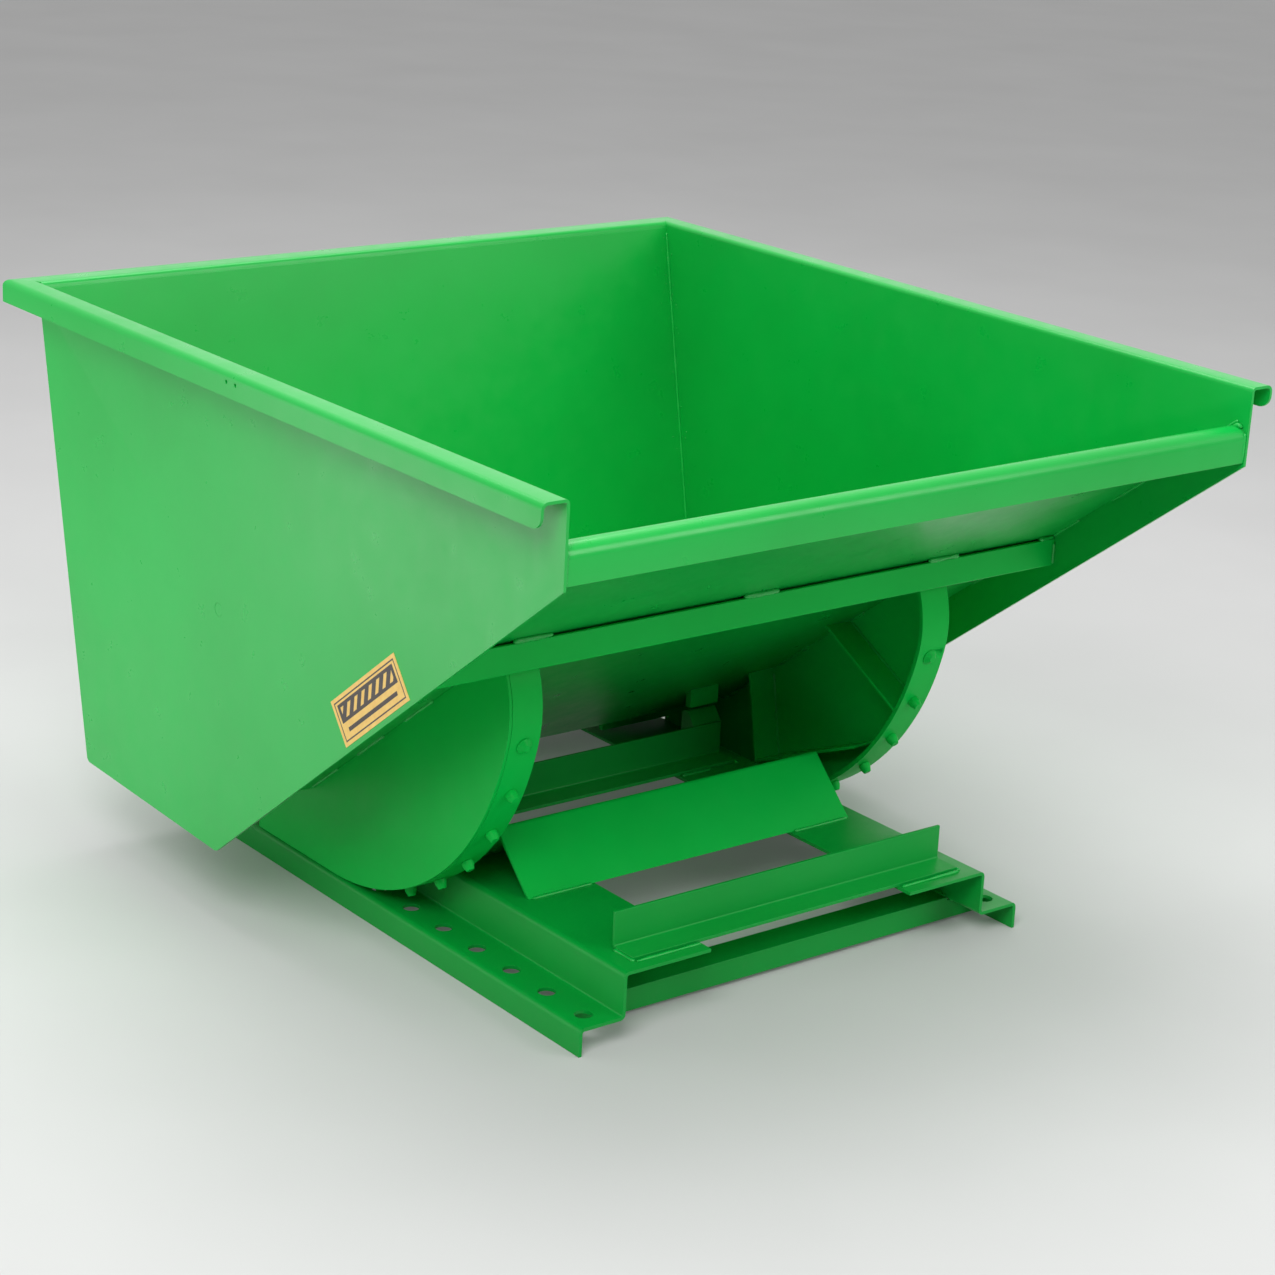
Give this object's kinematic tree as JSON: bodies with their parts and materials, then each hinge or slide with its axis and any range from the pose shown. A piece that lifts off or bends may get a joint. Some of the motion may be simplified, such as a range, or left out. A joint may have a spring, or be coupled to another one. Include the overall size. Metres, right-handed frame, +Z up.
{
  "type": "self-dumping hopper",
  "caption": "Open steel self-dumping hopper: sloped chute bin rolling forward on pinned rockers over a hat-section base with fork pockets and a rear latch lever.",
  "frame": {"origin": "on the ground under the middle of the hopper's length and width", "axes": "+X across the width, to the right of someone who faces the dump lip; the dump lip faces -Y, the back plate and fork entry face +Y, +Z is up"},
  "size_m": [1.5424, 1.674, 1.0285],
  "materials": {
    "green_paint": "semi-gloss",
    "zinc_steel": "satin",
    "grip_rubber": "matte",
    "label_film": "satin"
  },
  "bodies": {
    "base": {"rail_left": "green_paint", "rail_right": "green_paint", "front_angle": "green_paint", "rear_angle": "green_paint", "ridge_plate": "green_paint", "front_pocket_angle": "green_paint", "rear_pocket_angle": "green_paint", "stop_block_left": "green_paint", "stop_block_right": "green_paint", "latch_bracket": "green_paint", "latch_pivot_pin": "zinc_steel"},
    "latch_lever_arm": {"latch_lever": "green_paint", "latch_grip": "grip_rubber"},
    "roll_carrier": {"roll_centre_plugs": "green_paint"},
    "hopper": {"side_plate_left": "green_paint", "side_plate_right": "green_paint", "back_plate": "green_paint", "chute_floor_sheet": "green_paint", "chute_cross_angle": "green_paint", "rear_floor_angle": "green_paint", "rocker_plate_left": "green_paint", "rocker_plate_right": "green_paint", "rocker_strip_left": "green_paint", "rocker_strip_right": "green_paint", "rocker_pins_left": "green_paint", "rocker_pins_right": "green_paint", "rocker_end_bolts": "green_paint", "upper_gusset_left": "green_paint", "upper_gusset_right": "green_paint", "lower_gusset_left": "green_paint", "lower_gusset_right": "green_paint", "rocker_brace_left": "green_paint", "rocker_brace_right": "green_paint", "stop_pad_left": "green_paint", "stop_pad_right": "green_paint", "heel_bar_left": "green_paint", "heel_bar_right": "green_paint", "striker_lugs": "green_paint", "striker_bar": "green_paint", "hazard_label": "label_film"}
  },
  "joints": [
    {"name": "roll_travel", "type": "slide", "parent": "base", "child": "roll_carrier", "axis": [0, -1, 0], "range_m": [0, 0.7112]},
    {"name": "roll_tilt", "type": "hinge", "parent": "roll_carrier", "child": "hopper", "pos_m": [0, 0.1365, 0.587], "axis": [1, 0, 0], "range_deg": [0, 75.8]},
    {"name": "latch_pivot", "type": "hinge", "parent": "base", "child": "latch_lever_arm", "pos_m": [0, 0.594, 0.092], "axis": [1, 0, 0], "range_deg": [0, 10]}
  ],
  "couplings": [
    {"joint": "roll_travel", "follows": "roll_tilt", "m_per_rad": 0.537}
  ]
}
